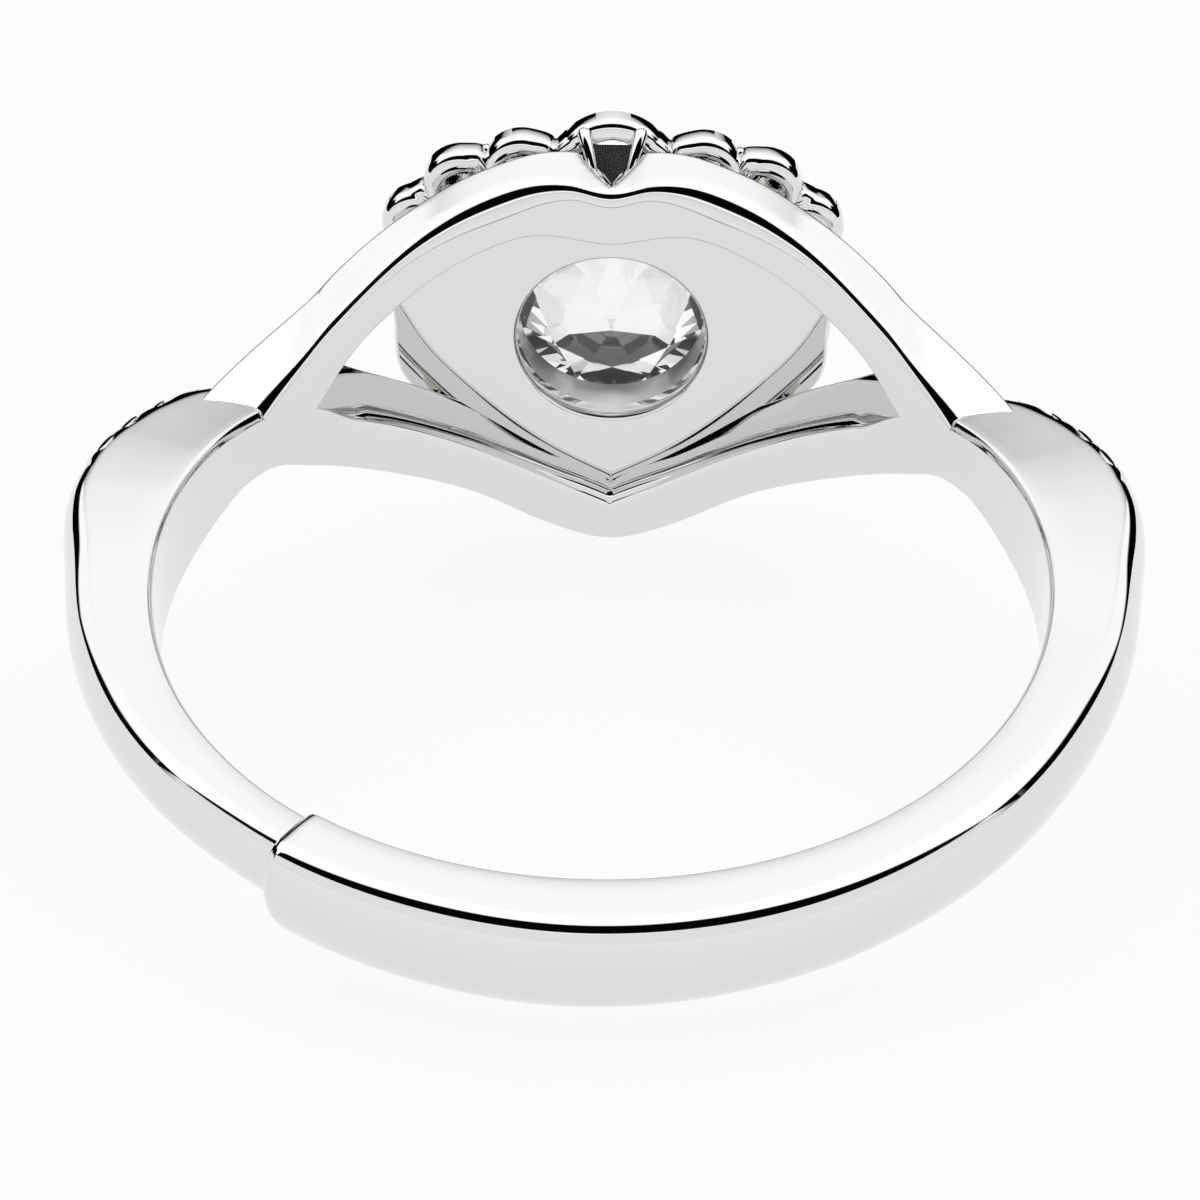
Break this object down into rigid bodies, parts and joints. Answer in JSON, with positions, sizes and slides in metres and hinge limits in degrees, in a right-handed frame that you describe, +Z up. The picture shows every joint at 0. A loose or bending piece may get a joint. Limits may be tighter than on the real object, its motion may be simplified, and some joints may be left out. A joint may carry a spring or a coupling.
{
  "type": "halo engagement ring",
  "caption": "Halo engagement ring in polished white metal: a round stone in a heart-shaped halo, split branches, stone-set shoulders and an open sizing joint.",
  "frame": {"origin": "on the surface that the ring rests on, under the middle of its length and width: the ring lies on its side, on the tip of the lower branch and the back of the band", "axes": "+Z up, close to the finger's own direction, which leans from it by the rest angle; +Y from the back of the band towards the head; +X across the head"},
  "size_m": [0.0212, 0.0218, 0.0099],
  "materials": {
    "polished_silver": "polished, rhodium plated",
    "clear_stone": "cut and polished"
  },
  "bodies": {
    "root": {"ring_metal": "polished_silver", "centre_stone": "clear_stone", "halo_stone_01": "clear_stone", "halo_stone_02": "clear_stone", "halo_stone_03": "clear_stone", "halo_stone_04": "clear_stone", "halo_stone_05": "clear_stone", "halo_stone_06": "clear_stone", "halo_stone_07": "clear_stone", "halo_stone_08": "clear_stone", "halo_stone_09": "clear_stone", "halo_stone_10": "clear_stone", "halo_stone_11": "clear_stone", "halo_stone_12": "clear_stone", "halo_stone_13": "clear_stone", "halo_stone_14": "clear_stone", "halo_stone_15": "clear_stone", "halo_stone_16": "clear_stone", "halo_stone_17": "clear_stone", "halo_stone_18": "clear_stone", "shoulder_stone_left_1": "clear_stone", "shoulder_stone_left_2": "clear_stone", "shoulder_stone_left_3": "clear_stone", "shoulder_stone_left_4": "clear_stone", "shoulder_stone_right_1": "clear_stone", "shoulder_stone_right_2": "clear_stone", "shoulder_stone_right_3": "clear_stone", "shoulder_stone_right_4": "clear_stone"}
  },
  "joints": []
}
